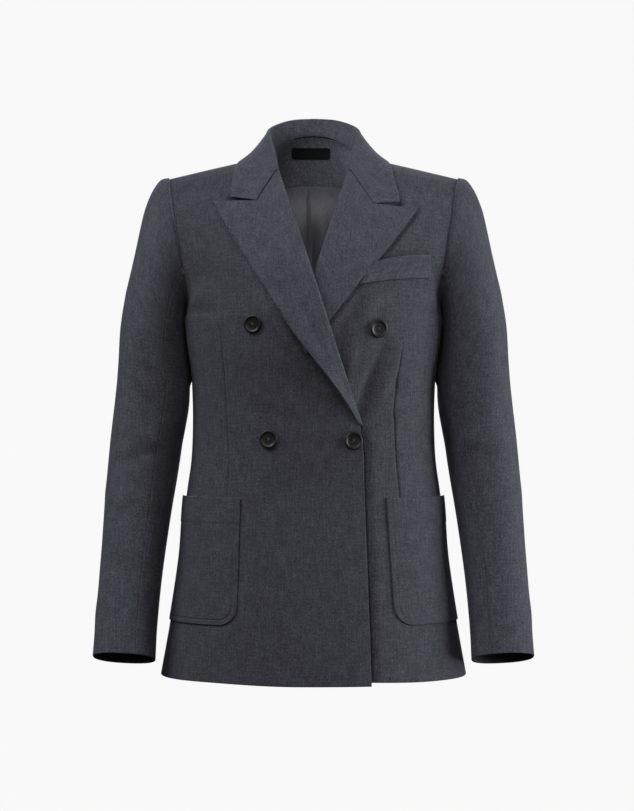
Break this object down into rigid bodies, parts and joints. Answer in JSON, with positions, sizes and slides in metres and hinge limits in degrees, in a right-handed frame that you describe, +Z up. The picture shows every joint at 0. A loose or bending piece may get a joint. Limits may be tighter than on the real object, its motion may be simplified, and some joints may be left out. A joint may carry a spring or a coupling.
{
  "type": "double-breasted blazer",
  "caption": "Tailored double-breasted blazer with peak lapels, welt pocket and patch pockets, filled out as if worn.",
  "frame": {"origin": "between the shoulders at the height of the neck's base, where the wearer carries it", "axes": "+Z up, -Y towards the front, +X towards the wearer's left"},
  "size_m": [0.5734, 0.2639, 0.742],
  "materials": {
    "suiting": "matte melange wool twill",
    "satin_lining": "smooth satin",
    "woven_label": "tight damask weave, bare",
    "button_resin": "polished, mottled like horn"
  },
  "bodies": {
    "root": {"front_right": "suiting", "front_left": "suiting", "back_right": "suiting", "back_left": "suiting", "top_sleeve_right": "suiting", "top_sleeve_left": "suiting", "under_sleeve_right": "suiting", "under_sleeve_left": "suiting", "lapel_right": "suiting", "lapel_left": "suiting", "collar": "suiting", "back_facing": "suiting", "back_lining": "satin_lining", "pocket_right": "suiting", "pocket_left": "suiting", "welt_pocket": "suiting", "neck_label": "woven_label", "button_upper_right": "button_resin", "button_upper_left": "button_resin", "button_lower_right": "button_resin", "button_lower_left": "button_resin"}
  },
  "joints": []
}
